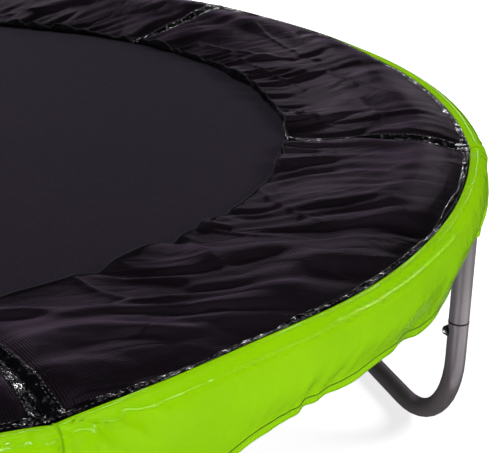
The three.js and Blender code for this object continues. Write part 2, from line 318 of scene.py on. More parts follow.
def leg_paint():
    m = Mat("leg_satin_paint", (0.36, 0.33, 0.35), 0.32, Metallic=0.6, Specular_IOR_Level=0.5,
            Coat_Weight=0.15, Coat_Roughness=0.25)
    cloud = m.noise(7, 4.0, 0.6)
    speck = m.noise(700, 2.0, 0.5)
    streak = m.noise(18, vector=m.scaled((9, 9, 0.5)))
    tone = m.ramp(cloud, [(0.3, (0.30, 0.265, 0.29)), (0.7, (0.41, 0.375, 0.40))])
    tone = m.mix(m.span(streak, 0.0, 0.35, 0.45, 0.8), tone, (0.52, 0.475, 0.50))
    height = m.node("SeparateXYZ", Vector=m.co).outputs[2]
    scuff = m.times(m.span(height, 1.0, 0.0, 0.0, 0.03), m.noise(55, 4.0, 0.7))
    tone = m.mix(m.span(scuff, 0.0, 0.6, 0.3, 0.8), tone, (0.09, 0.083, 0.078))
    # darker towards the bottom: from 0.30 m down to 0.17 m the colour turns towards a darker grey
    tone = m.mix(m.span(height, 0.62, 0.0, 0.17, 0.30), tone, (0.16, 0.138, 0.150))
    m.set(Base_Color=tone)
    m.set(Roughness=m.span(m.add(cloud, m.times(speck, 0.3)), 0.24, 0.42, 0.3, 1.0))
    m.bump(speck, 0.00012, 0.35)
    m.bump(m.noise(120, 2.0, 0.5), 0.0003, 0.25)
    return m.m


def metal(name, colour, rough, scratch):
    m = Mat(name, colour, rough, Metallic=1.0)
    cloud = m.noise(140)
    dim = tuple(c * 0.72 for c in colour)
    m.set(Base_Color=m.ramp(cloud, [(0.3, dim), (0.7, colour)]))
    m.set(Roughness=m.span(m.noise(260), rough * 0.7, rough * 1.6))
    m.bump(m.noise(500, 2.0, 0.6), 0.0002, scratch)
    return m.m


def webbing(name, dark, light):
    m = Mat(name, dark, 0.78, Specular_IOR_Level=0.3, Sheen_Weight=0.2, Sheen_Roughness=0.5)
    pol = m.polar()
    rib = m.wave(330, pol, "X", 0.3, 2.0)
    row = m.wave(190, pol, "Y", 0.3, 2.0)
    weave = m.times(rib, row)
    m.set(Base_Color=m.mix(m.span(weave, 0.0, 0.9), dark, light))
    m.set(Roughness=m.span(m.noise(80), 0.66, 0.86))
    m.bump(weave, 0.0005, 0.7)
    return m.m


def plain_plastic(name, colour, rough):
    m = Mat(name, colour, rough, Specular_IOR_Level=0.5)
    m.set(Base_Color=m.ramp(m.noise(90), [(0.3, tuple(c * 0.75 for c in colour)), (0.7, colour)]))
    m.set(Roughness=m.span(m.noise(200), rough * 0.8, rough * 1.25))
    m.bump(m.noise(450, 2.0, 0.5), 0.00015, 0.4)
    return m.m


def backdrop_white():
    """Even white light behind everything."""
    return Mat("backdrop_white", (0, 0, 0), 1.0, Specular_IOR_Level=0.0, Emission_Color=(1, 1, 1, 1),
               Emission_Strength=1.0).m


def floor_paint():
    """Pale floor that fades into the backdrop, and is clear from below to show the underside."""
    m = Mat("floor_pale", (0.9, 0.9, 0.9), 0.85, Specular_IOR_Level=0.1, Emission_Color=(1, 1, 1, 1))
    length = m.node("VectorMath", operation="LENGTH")
    m.put(length.inputs[0], m.co)
    m.set(Base_Color=m.ramp(m.noise(1.2, 2.0, 0.5), [(0.2, (0.89, 0.89, 0.89)), (0.8, (0.92, 0.92, 0.92))]),
          Emission_Strength=m.span(length.outputs["Value"], 0.78, 1.0, 1.8, 6.0))
    clear = m.node("MixShader", Fac=m.node("NewGeometry").outputs["Backfacing"])
    m.put(clear.inputs[1], m.p.outputs[0])
    m.put(clear.inputs[2], m.node("BsdfTransparent").outputs[0])
    m.put(m.nt.nodes["Material Output"].inputs["Surface"], clear.outputs[0])
    return m.m


# ---------------- meshes
def placed(me, material):
    """Object for a mesh, shaded smooth."""
    me.polygons.foreach_set("use_smooth", np.ones(len(me.polygons), bool))
    me.materials.append(material)
    o = bpy.data.objects.new(me.name, me)
    bpy.context.scene.collection.objects.link(o)
    return o


def mesh_object(name, verts, faces, material):
    """Smooth mesh from quads."""
    me = bpy.data.meshes.new(name)
    faces = np.asarray(faces, np.int32)
    me.vertices.add(len(verts))
    me.vertices.foreach_set("co", np.asarray(verts, np.float32).ravel())
    me.loops.add(faces.size)
    me.loops.foreach_set("vertex_index", faces.ravel())
    me.polygons.add(len(faces))
    me.polygons.foreach_set("loop_start", np.arange(0, faces.size, faces.shape[1], dtype=np.int32))
    me.update(calc_edges=True)
    me.validate()
    return placed(me, material)


def grid_faces(n, m, wrap_n=False, wrap_m=False, start=0):
    """Quads of an n by m grid of points, closed on itself where it wraps."""
    i = np.arange(n if wrap_n else n - 1)
    j = np.arange(m if wrap_m else m - 1)
    a, b = np.meshgrid(i, j, indexing="ij")
    a2, b2 = (a + 1) % n, (b + 1) % m
    return start + np.stack([a * m + b, a2 * m + b, a2 * m + b2, a * m + b2], -1).reshape(-1, 4)


def cyl(r, th, z):
    return np.stack(np.broadcast_arrays(r * np.cos(th), r * np.sin(th), z), -1).reshape(-1, 3)


def hash2(ix, iy, seed):
    h = (ix.astype(np.int64) * 374761393 + iy.astype(np.int64) * 668265263 + seed * 1442695041) & 0xFFFFFFFF
    h = ((h ^ (h >> 13)) * 1274126177) & 0xFFFFFFFF
    return ((h ^ (h >> 16)) & 0xFFFF) / 65535.0


def noise2(x, y, seed):
    """Smooth value noise from -1 to 1."""
    x, y = np.broadcast_arrays(np.asarray(x, float), np.asarray(y, float))
    ix, iy = np.floor(x), np.floor(y)
    fx, fy = x - ix, y - iy
    fx, fy = fx * fx * fx * (fx * (fx * 6 - 15) + 10), fy * fy * fy * (fy * (fy * 6 - 15) + 10)
    v = [[hash2(ix + i, iy + j, seed) for j in (0, 1)] for i in (0, 1)]
    low = v[0][0] * (1 - fx) + v[1][0] * fx
    high = v[0][1] * (1 - fx) + v[1][1] * fx
    return (low * (1 - fy) + high * fy) * 2 - 1


def fbm(x, y, seed, octaves, gain=0.5):
    total, amp, norm = 0, 1.0, 0.0
    for o in range(octaves):
        total = total + amp * noise2(x * 2 ** o, y * 2 ** o, seed + 31 * o)
        norm += amp
        amp *= gain
    return total / norm


def ease(t):
    """Eased step from 0 to 1."""
    t = np.clip(t, 0, 1)
    return t * t * (3 - 2 * t)


def bell(x, width):
    return np.exp(-(x / width) ** 2)


def arch(t):
    """Up and down again between 0 and 1."""
    return np.sin(np.pi * np.clip(t, 0, 1))


def field(u, v):
    """Both coordinates on the grid of u by v."""
    return np.broadcast_arrays(u[:, None], v[None, :])


def unit(v):
    return v / (np.linalg.norm(v, axis=1)[:, None] + 1e-12)


def ring_point(degrees, radius):
    return radius * np.array((cos(radians(degrees)), sin(radians(degrees))))


def tube(path, radius, sides, closed=False, flat=1.0, up=None):
    """Vertices and quads of a round tube along path; flat squeezes it along up."""
    p = np.asarray(path, float)
    n = len(p)
    t = unit(np.roll(p, -1, 0) - np.roll(p, 1, 0) if closed else np.gradient(p, axis=0))
    if up is not None:
        side = unit(np.cross(t, np.broadcast_to(up, p.shape)))
        nrm = np.cross(side, t)
    else:
        side, nrm = np.zeros_like(p), np.zeros_like(p)
        ref = np.array([0, 0, 1.0]) if abs(t[0, 2]) < 0.9 else np.array([1.0, 0, 0])
        s = np.cross(t[0], ref)
        s /= np.linalg.norm(s)
        for i in range(n):
            s = s - t[i] * (s @ t[i])
            s /= np.linalg.norm(s) + 1e-12
            side[i], nrm[i] = s, np.cross(s, t[i])
    a = (np.arange(sides) / sides * 2 * np.pi)[None, :, None]
    rr = np.broadcast_to(np.asarray(radius, float), (n,))[:, None, None]
    v = p[:, None] + rr * (np.cos(a) * side[:, None] + flat * np.sin(a) * nrm[:, None])
    v = v.reshape(-1, 3)
    f = grid_faces(n, sides, closed, True)
    if not closed:
        v = np.vstack([v, p[:1], p[-1:]])
        j = np.arange(sides)
        k = (j + 1) % sides
        c0, c1 = np.full(sides, n * sides), np.full(sides, n * sides + 1)
        last = (n - 1) * sides
        f = np.vstack([f, np.stack([c0, j, k, k], -1), np.stack([c1, last + k, last + j, last + j], -1)])
    return v, f


def join(parts):
    """One list of vertices and one of faces from several."""
    verts, faces, at = [], [], 0
    for v, f in parts:
        verts.append(v)
        faces.append(f + at)
        at += len(v)
    return np.vstack(verts), np.vstack(faces)


def tri_safe(name, v, f, material):
    """Mesh from quads, some of which repeat a corner: those become triangles."""
    me = bpy.data.meshes.new(name)
    me.from_pydata(v.tolist(), [], [q if q[2] != q[3] else q[:3] for q in f.tolist()])
    me.update()
    return placed(me, material)


def revolve(profile, sides=24):
    """Surface of (radius, distance along X) points turned about the X axis."""
    p = np.asarray(profile, float)
    a = np.arange(sides) / sides * 2 * np.pi
    radius = p[:, :1]
    along = np.broadcast_to(p[:, 1:], (len(p), sides))
    v = np.stack([along, radius * np.cos(a), radius * np.sin(a)], -1).reshape(-1, 3)
    return v, grid_faces(len(p), sides, False, True)


def turned(v, degrees, radius=0.0, z=0.0):
    """Points moved out to radius, up to z and round the ring."""
    a = radians(degrees)
    x, y = v[:, 0] + radius, v[:, 1]
    return np.stack([x * cos(a) - y * sin(a), x * sin(a) + y * cos(a), v[:, 2] + z], -1)


# ---------------- cloth on a grid
def laplace(p):
    """How far each inner point of a grid lies from its four neighbours."""
    return p[2:, 1:-1] + p[:-2, 1:-1] + p[1:-1, 2:] + p[1:-1, :-2] - 4 * p[1:-1, 1:-1]


def relax(p, rest, pinned, rounds, bend, guard, give=0.35, sink=0.0):
    """Settles a sheet: threads return to their lengths, stiffness spreads bends, guard stops contact.

    give is how much of its push a squeezed thread keeps, and sink is the fall in each round.
    """
    keep = p[pinned].copy()
    lap = np.zeros_like(p)
    for _ in range(rounds):
        p[..., 2] -= sink
        for first, second, pick, want in rest:
            a, b = p[first][pick], p[second][pick]
            d = b - a
            now = np.sqrt((d * d).sum(-1)) + 1e-9
            share = (now - want) / now
            d *= (np.where(share > 0, 0.5, 0.5 * give) * share)[..., None]
            a += d
            b -= d
        lap[1:-1, 1:-1] = laplace(p)
        p[1:-1, 1:-1] -= bend * laplace(lap)
        for e in (p[:, 0], p[:, -1]):
            e[2:-2] -= 1.6 * bend * (e[4:] - 4 * e[3:-1] + 6 * e[2:-2] - 4 * e[1:-3] + e[:-4])
        guard(p)
        p[pinned] = keep


def lengths(p, flat, across, spare):
    """Threads and diagonals of a sheet and their rest lengths, with spare cloth across its fold direction.

    Each entry holds the two ends of threads that share no point, so that all of them can move at once.
    """
    out = []
    for a, b, down in ((np.s_[:-1], np.s_[1:], False), (np.s_[:, :-1], np.s_[:, 1:], True),
                       (np.s_[:-1, :-1], np.s_[1:, 1:], False), (np.s_[:-1, 1:], np.s_[1:, :-1], False)):
        v3, v2 = p[b] - p[a], flat[b] - flat[a]
        c = ((across[a] + across[b]) * 0.5 * v2).sum(-1)
        e = (spare[a] + spare[b]) * 0.5
        want = np.sqrt((v3 * v3).sum(-1) + 2 * e * c * c)
        for odd in (0, 1):
            pick = np.s_[:, odd::2] if down else np.s_[odd::2]
            out.append((a, b, pick, want[pick]))
    return out


class Panel:
    """A settled sheet between two seams, sampled by angle and by share of its width."""
    def __init__(self, k, p):
        self.a, self.b = panel_span(k)
        self.k, self.p = k, p

    def at(self, th, q):
        n, m = self.p.shape[:2]
        th, q = np.broadcast_arrays(np.asarray(th, float), np.asarray(q, float))
        u = np.clip((th - self.a) / (self.b - self.a), 0, 1) * (n - 1)
        v = np.clip(q, 0, 1) * (m - 1)
        i, j = np.minimum(u.astype(int), n - 2), np.minimum(v.astype(int), m - 2)
        fu, fv = (u - i)[..., None], (v - j)[..., None]
        p = self.p
        return ((p[i, j] * (1 - fu) + p[i + 1, j] * fu) * (1 - fv)
                + (p[i, j + 1] * (1 - fu) + p[i + 1, j + 1] * fu) * fv)


def panel_span(k):
    """Angles of the seams at both ends of panel k."""
    a, b = (SEAMS + [SEAMS[0] + 360])[k:k + 2]
    return radians(a), radians(b)


# ---------------- pad
# folds of each panel: their size, their first height, and their direction as a turn from the panel's middle
# radius and a share by which they fan out round the ring
FOLD_SIZE = [1.0, 1.22, 1.25, 1.1, 1.2, 1.1]
FOLD_RISE = [1.3, 1.0, 1.0, 1.1, 1.0, 1.1]
FOLD_TURN = [(37.5, 0.0), (5.5, 0.5), (-14, 0.8), (12, 0.6), (-22, 0.5), (16, 0.7)]
# creases pressed in by packing: panel, start angle and radius, end angle and radius, height, half width
CREASES = [(0, -56.0, 0.892, -62.0, 1.085, 0.0055, 0.016), (0, -42.7, 0.905, -49.5, 1.10, 0.0022, 0.005),
           (1, -12.1, 1.06, -23.0, 1.10, 0.0030, 0.010), (1, 14.0, 0.95, 3.0, 1.13, 0.0022, 0.006),
           (1, 22.0, 0.960, 7.0, 1.027, 0.0032, 0.005), (1, 10.4, 0.944, -5.6, 0.991, 0.0034, 0.005),
           (1, 21.3, 1.131, 6.1, 1.068, 0.0028, 0.005), (1, -14.2, 0.904, -20.2, 0.983, 0.0026, 0.004),
           (1, -17.2, 0.924, -23.7, 1.006, 0.0024, 0.004), (1, -0.3, 1.065, -12.1, 1.142, 0.0028, 0.005),
           (0, -53.3, 0.896, -52.0, 1.047, 0.0030, 0.005), (0, -69.8, 0.897, -68.6, 1.039, 0.0030, 0.005),
           (2, 60.0, 0.93, 49.0, 1.09, 0.0028, 0.009), (3, 118.0, 0.95, 128.0, 1.12, 0.0030, 0.010),
           (4, 176.0, 0.92, 186.0, 1.08, 0.0035, 0.012), (5, 250.0, 0.93, 241.0, 1.10, 0.0028, 0.008)]


def edge_shift(th):
    """Small wander of the pad's inner edge."""
    s = th * PAD_IN
    return 0.0040 * fbm(s / 0.21, 0.3, 5, 2) + 0.0018 * noise2(s / 0.06, 0.7, 9)


# how far the rim sags at each seam
SEAM_SAG = np.array([1.0, 0.30, 0.15, 0.8, 0.8, 0.8, 1.0])


def rim_shift(th):
    """Outward and upward shift of the rim, which sags at the seams and puffs up at the back."""
    ends = np.radians(np.array(SEAMS + [SEAMS[0] + 360.0]))
    away = np.abs(th[..., None] - ends) * SEAM_R
    sag = np.max(SEAM_SAG * np.exp(-away / 0.055), -1)
    deg = np.degrees(th)
    back = ease((deg - 2) / 14) * ease((112 - deg) / 20)
    humps = 0.0090 * bell(deg + 67, 7.5) + 0.0080 * bell(deg - 33, 9)
    return 0.0060 * np.max(np.exp(-away / 0.08), -1), 0.0090 * back * (1 - 0.3 * sag) + humps - 0.0070 * sag


def pad_base(k, th, q):
    """Top of the foam under the cover."""
    a, b = panel_span(k)
    z = 0.5738 + 0.0142 * ease(q / 0.55) + 0.0012 * arch(q)
    lumps = fbm(th * PAD_MID / 0.17 + 0.4 * q, q * 1.6, 21 + k, 2)
    z = z + 0.0046 * lumps * np.sin(np.pi * np.clip(q, 0.02, 0.98)) ** 0.6
    roll = 0.0085 + 0.0035 * fbm(th * 1.2 / 0.35, 0.5, 27, 2)
    z = z + roll * bell(q - 0.77, 0.16) * ease((1 - q) / 0.11)
    near = np.minimum(th - a, b - th) * (PAD_IN + q * PAD_W)
    dip = (0.0070 + 0.0055 * ease(q / 0.3)) * np.exp(-(np.clip(near, 0, 1) / 0.019) ** 1.35)
    return z - dip * (1 - ease((q - 0.88) / 0.12)) + rim_shift(th)[1] * ease((q - 0.6) / 0.4)


def crease(x, y, start, end, height, half):
    """Height of a sharp, slightly bowed crease between two points."""
    line = end - start
    t = ((x - start[0]) * line[0] + (y - start[1]) * line[1]) / (line @ line)
    off = ((x - start[0]) * line[1] - (y - start[1]) * line[0]) / hypot(*line) - 0.008 * np.sin(np.pi * t)
    return height * np.exp(-(np.abs(off) / half) ** 1.3) * ease(t * 8 + 0.8) * ease((1 - t) * 3)


def settle_pad(k):
    """Cover of pad panel k, settled on its foam with spare cloth that folds."""
    a, b = panel_span(k)
    n, m = int((b - a) * PAD_MID / CELL), int(PAD_W / CELL) + 1
    th, q = field(np.linspace(a + 0.0003, b - 0.0003, n), np.linspace(0, 1, m))
    near = np.minimum(th - a, b - th)
    r = PAD_IN + edge_shift(th) * (1 - q) ** 3 + q * PAD_W + rim_shift(th)[0] * ease((q - 0.8) / 0.2)
    x, y = r * np.cos(th), r * np.sin(th)
    # u runs across the folds and w along them
    mid = (a + b) / 2
    turn, fan = radians(FOLD_TURN[k][0]), FOLD_TURN[k][1]
    c, s = cos(mid + turn), sin(mid + turn)
    u = fan * (PAD_MID * (th - mid) - tan(turn) * (r - PAD_MID)) + (1 - fan) * (-x * s + y * c)
    w = fan * r + (1 - fan) * (x * c + y * s)
    u = u + 0.030 * noise2(x / 0.15, y / 0.15, 33 + k)
    # humps that roll over the inner edge, with sharp valleys between them
    hump = np.abs(noise2(u / 0.075, 0.4, 101 + k)) * ease(near * r / 0.08)
    base = pad_base(k, th, q) + (0.0110 * hump - 0.0020) * np.exp(-q / 0.17)
    r = r - 0.0120 * hump * (1 - q) ** 6
    x, y = r * np.cos(th), r * np.sin(th)
    way = fan * (th + turn) + (1 - fan) * (mid + turn) + 0.50 * noise2(x / 0.15, y / 0.15, 43 + k)
    across = np.stack([-np.sin(way), np.cos(way)], -1)
    patch = 0.5 + 0.5 * fbm(x / 0.20, y / 0.20, 53 + k, 2)
    spare = 0.020 + 0.085 * patch + 0.130 * np.exp(-q / 0.13)
    live = ease(near * r / 0.02) * ease((1 - q) / 0.05)
    p = np.stack([x, y, base], -1)
    rest = lengths(p, np.stack([x, y], -1), across, spare * (0.3 + 0.7 * live))
    # small waves to start the folds from
    size = FOLD_SIZE[k]
    start = 0
    for high, over, along, seed in ((0.0066, 0.100, 0.26, 61), (0.0036, 0.052, 0.15, 71),
                                    (0.0009, 0.024, 0.09, 81)):
        start = start + high * noise2(u / over / size, w / along, seed + k)
    p[..., 2] += (start * FOLD_RISE[k] + 0.002) * live
    pinned = np.zeros((n, m), bool)
    pinned[0] = pinned[-1] = pinned[:, -1] = True
    low, high = base - 0.0015, base + 0.0140 - 0.005 * ease((q - 0.5) / 0.4)
    calm = ease(near[:, 0] * PAD_IN / 0.06)
    least = (PAD_IN - 0.017) * calm + (r[:, 0] - 0.0005) * (1 - calm)
    most = (PAD_IN + 0.008) * calm + (r[:, 0] + 0.0005) * (1 - calm)

    def guard(p):
        """Keeps the cover on the foam, and its inner edge between the two radii."""
        p[..., 2] = np.clip(p[..., 2], low, high)
        edge = np.hypot(p[:, 0, 0], p[:, 0, 1])
        p[:, 0, :2] *= (np.clip(edge, least, most) / edge)[:, None]

    relax(p, rest, pinned, 190, 0.018 * size, guard)
    for who, t0, r0, t1, r1, height, half in CREASES:
        if who == k:
            p[..., 2] += crease(x, y, ring_point(t0, r0), ring_point(t1, r1), height, half) * live
    # the seam at -26.5 degrees runs a little askew: its inner end lies further back
    swing = radians(4.6) * bell(np.degrees(th) + 26.5, 13) * (1 - q)
    c, s = np.cos(swing), np.sin(swing)
    p[..., 0], p[..., 1] = p[..., 0] * c - p[..., 1] * s, p[..., 0] * s + p[..., 1] * c
    return Panel(k, p)


def pad_mesh(panel, material):
    """Settled cover with its four sides and underside."""
    p = panel.p
    n, m = p.shape[:2]
    parts = [(p.reshape(-1, 3), grid_faces(n, m))]
    floor_z = 0.5656 + 0.0134 * np.linspace(0, 1, m)[None, :] ** 0.8 + np.zeros((n, 1))
    whole = np.s_[:]
    for i, j, inner in ((whole, 0, True), (whole, -1, False), (0, whole, False), (-1, whole, False)):
        top, low = p[i, j], np.minimum(floor_z[i, j], p[i, j][:, 2] - 0.001)
        rows = [top]
        for drop in (0.35, 0.7, 1.0):
            row = top.copy()
            row[:, 2] = top[:, 2] * (1 - drop) + low * drop
            if inner:
                row[:, :2] *= 1 - 0.0018 * sin(pi * drop)
            rows.append(row)
        parts.append((np.vstack(rows), grid_faces(4, len(top))))
    low = p[::6, ::6].copy()
    low[..., 2] = np.minimum(floor_z[::6, ::6], low[..., 2] - 0.001)
    parts.append((low.reshape(-1, 3), grid_faces(*low.shape[:2])[:, ::-1]))
    return mesh_object(f"pad_cover_{panel.k + 1}", *join(parts), material)


def strip_half(q):
    """Half width of a seam strip along the seam, which widens outwards."""
    return 0.0085 + 0.0120 * q ** 1.2


def seam_strip(k, before, after, material):
    """Shiny strip sewn over the seam before panel k."""
    q, lat = np.linspace(0.0, 0.997, 200)[:, None], np.linspace(-1, 1, 28)[None, :]
    t = lat * (strip_half(q) + 0.0014 * noise2(q * 14, 3.1, 61 + k))
    r = PAD_IN + q * PAD_W + 0 * t
    th = radians(SEAMS[k]) + t / r
    back = th if k else th + 2 * pi
    p = np.where((t > 0)[..., None], after.at(th, q + 0 * t), before.at(back, q + 0 * t))
    crinkle = fbm(t / 0.007 + 3, r / 0.010, 71 + k, 3, 0.6)
    lat = np.abs(lat)
    p[..., 2] += 0.0018 * (1 - lat ** 8) + (0.0022 * crinkle + 0.0012) * (1 - lat ** 4) + 0.0005
    return mesh_object(f"seam_strip_{k + 1}", p.reshape(-1, 3), grid_faces(200, 28), material)


def outer_strip(panel, material):
    """Shiny strip along the panel's outer edge, where the skirt is sewn on."""
    n, m = int((panel.b - panel.a) * SEAM_R / 0.0036), 14
    th, lat = field(np.linspace(panel.a, panel.b, n), np.linspace(0, 1, m))
    near = np.minimum(th - panel.a, panel.b - th) * SEAM_R
    wide = 0.0100 + 0.012 * np.exp(-near / 0.045) + 0.004 * noise2(th * 26, 1.7, 81 + panel.k)
    p = panel.at(th, 1 - wide * (1 - lat) / PAD_W)
    crinkle = fbm(th * SEAM_R / 0.011, lat * wide / 0.009, 91 + panel.k, 3, 0.6)
    lift = 0.0006 + 0.0012 * ease(lat * 6) + 0.0026 * crinkle * np.sin(np.pi * lat * 0.9 + 0.1)
    p[..., 2] += np.maximum(lift, 0.0003)
    return mesh_object(f"outer_strip_{panel.k + 1}", p.reshape(-1, 3), grid_faces(n, m), material)


def edge_path(panels):
    """Closed line along the pad's inner edge."""
    path = np.vstack([panel.at(np.linspace(panel.a, panel.b, 300, endpoint=False), 0.0) for panel in panels])
    return (np.roll(path, 1, 0) + 2 * path + np.roll(path, -1, 0)) / 4


def inner_binding(panels, material):
    """Shiny band turned down over the edge that faces the mat."""
    path = edge_path(panels)
    n, rows = len(path), 9
    s = (np.arange(n) * 2 * pi * PAD_IN / n)[:, None]
    t = np.linspace(0, 1, rows)[None, :]
    puff = 0.0016 * np.sin(np.pi * t) + 0.0015 * fbm(s / 0.010, t * 1.5, 15, 3, 0.6) * arch(t + 0.1)
    scale = 1 - (0.0006 + puff + 0.0018 * np.sin(np.pi * t)) / PAD_IN
    z = path[:, 2:] + 0.0004 - (path[:, 2:] - 0.5662) * t ** 1.1
    v = np.stack([path[:, 0:1] * scale, path[:, 1:2] * scale, z], -1)
    return mesh_object("pad_inner_binding", v.reshape(-1, 3), grid_faces(n, rows, True), material)


def edge_lip(panels, material):
    """Turned edge of the cover."""
    path = edge_path(panels)
    path[:, 2] += 0.0002
    s = np.arange(len(path)) * 2 * pi * PAD_IN / len(path)
    thick = 0.0017 + 0.0003 * noise2(s / 0.012, 0.5, 15)
    return mesh_object("pad_edge_lip", *tube(path, thick, 8, closed=True, flat=0.8, up=(0, 0, 1)), material)


def stitches(name, rows, material):
    """Short threads lying along each row of points."""
    long, wide, high, pitch = 0.0046, 0.0011, 0.0006, 0.0078
    shape = np.array([(-1, 0, 0.1), (-0.6, -1, 0.2), (0.6, -1, 0.2), (1, 0, 0.1),
                      (0.6, 1, 0.2), (-0.6, 1, 0.2), (-0.55, 0, 1), (0.55, 0, 1)])
    ahead_by, side_by, up_by = (shape * (long / 2, wide / 2, high)).T[:, :, None]
    quads = np.array([(0, 1, 6, 6), (1, 2, 7, 6), (2, 3, 7, 7), (3, 4, 7, 7), (4, 5, 6, 7), (5, 0, 6, 6)])
    parts = []
    for path in rows:
        step = np.r_[0, np.cumsum(np.linalg.norm(np.diff(path, axis=0), axis=1))]
        at = np.arange(pitch / 2, step[-1], pitch)
        mid, ahead = (np.stack([np.interp(s, step, path[:, c]) for c in range(3)], -1)
                      for s in (at, at + 0.0015))
        d = unit(ahead - mid)
        side = unit(np.cross((0, 0, 1.0), d))
        top = np.cross(d, side)
        v = mid[:, None] + ahead_by * d[:, None] + side_by * side[:, None] + up_by * top[:, None]
        f = quads[None] + (np.arange(len(mid)) * 8)[:, None, None]
        parts.append((v.reshape(-1, 3), f.reshape(-1, 4)))
    return tri_safe(name, *join(parts), material)


def pad_rows(k, before, after):
    """Sewing rows of panel k: both sides of its seam strip and along its outer strip."""
    rows = []
    q = np.linspace(0.01, 0.985, 160)
    for side, panel in ((-1, before), (1, after)):
        turn = 2 * pi if side < 0 and not k else 0
        for share, lift in ((0.72, 0.0026), (0.96, 0.0018)):
            th = radians(SEAMS[k]) + side * strip_half(q) * share / (PAD_IN + q * PAD_W) + turn
            row = panel.at(th, q)
            row[:, 2] += lift
            rows.append(row)
    row = after.at(np.linspace(after.a + 0.012, after.b - 0.012, 420), 1 - 0.0035 / PAD_W)
    row[:, 2] += 0.0022
    return rows + [row]


# ---------------- skirt
# radius and height of the hanging skirt, from the sewn edge over the rail to the hem
SECTION = np.array([(1.2218, 0.5885), (1.2270, 0.5908), (1.2340, 0.5916), (1.2415, 0.5895), (1.2496, 0.5838),
                    (1.2557, 0.5750), (1.2589, 0.5640), (1.2597, 0.5520), (1.2598, 0.5380), (1.2592, 0.5200),
                    (1.2575, 0.5020), (1.2545, 0.4880), (1.2512, 0.4720)])
# length of the section, which is the skirt's depth, and depth of its hem
DROP = float(np.hypot(*np.diff(SECTION, axis=0).T).sum())
HEM = 0.0145


def section_at(t):
    """Radius and height at a share of the way down the skirt."""
    step = np.r_[0, np.cumsum(np.hypot(*np.diff(SECTION, axis=0).T))] / DROP
    return np.interp(t, step, SECTION[:, 0]), np.interp(t, step, SECTION[:, 1])


def skirt_base(th, t, near, off):
    """Skirt without its folds; near is the distance to a seam, and off the angle to a post in degrees."""
    s = th * SKIRT_R
    r, z = section_at(t)
    # drawn in under the rail between the posts, and longest beside them
    tuck = 0.0265 * ease((off - 0.8) / 3.8) * ease((t - 0.34) / 0.62)
    r = r - tuck * (1 + 0.12 * noise2(s / 0.4, 0.2, 179))
    longer = 0.024 * ease((off - 1.5) / 3) * ease((23 - off) / 5) - 0.005 * bell(off - 26, 2.5)
    z = z - (longer + 0.002 * noise2(s / 0.16, 0.6, 177)) * ease((t - 0.3) / 0.7)
    out_by, up_by = rim_shift(th)
    r, z = r + out_by * ease(1 - t / 0.35), z + up_by * ease(1 - t / 0.42)
    flatter = ease((np.degrees(th) - 3) / 10) * ease((110 - np.degrees(th)) / 10)
    z = z + (0.0015 - 0.0070 * flatter) * arch(t / 0.40) ** 1.5
    # the seam line itself is drawn in a little
    r = r - 0.0035 * np.exp(-near / 0.01) * arch(t * 1.1) * 0.6
    return np.stack([r * np.cos(th), r * np.sin(th), z], -1)


def skirt_guard(base, t, off):
    """Keeps the cloth off the rail and the posts, and close to its base near the sewn edge."""
    inner = 1.2508 - 0.042 * ease((off - 0.5) / 3.6)
    held = t < 0.24
    lowest = np.where(held, base[..., 2] - 0.0012, 0.0)
    least = np.where(held, np.hypot(base[..., 0], base[..., 1]) - 0.0015, 0.0)
    outer = 1.2650 - 0.0128 * ease((t - 0.60) / 0.38) * ease((4 - off) / 2.5)

    def guard(p):
        rho = np.hypot(p[..., 0], p[..., 1])
        want = np.clip(rho, np.where(p[..., 2] < 0.545, inner, least), outer)
        dr, dz = want - RAIL_R, p[..., 2] - RAIL_Z
        gap = np.hypot(dr, dz)
        push = np.where((gap < 0.0215) & (dz > -0.010), 0.0215 / (gap + 1e-9), 1.0)
        want, z_new = RAIL_R + dr * push, RAIL_Z + dz * push
        p[..., :2] *= (want / rho)[..., None]
        p[..., 2] = np.clip(z_new, lowest, 0.6065)
        for degrees in POSTS:
            post = ring_point(degrees, RAIL_R)
            away = p[..., :2] - post
            gap = np.hypot(away[..., 0], away[..., 1])
            need = np.where(p[..., 2] > 0.480, 0.0222, 0.0202)
            push = np.where((gap < need) & (p[..., 2] < 0.550), need / (gap + 1e-9), 1.0)
            p[..., :2] = post + away * push[..., None]

    return guard


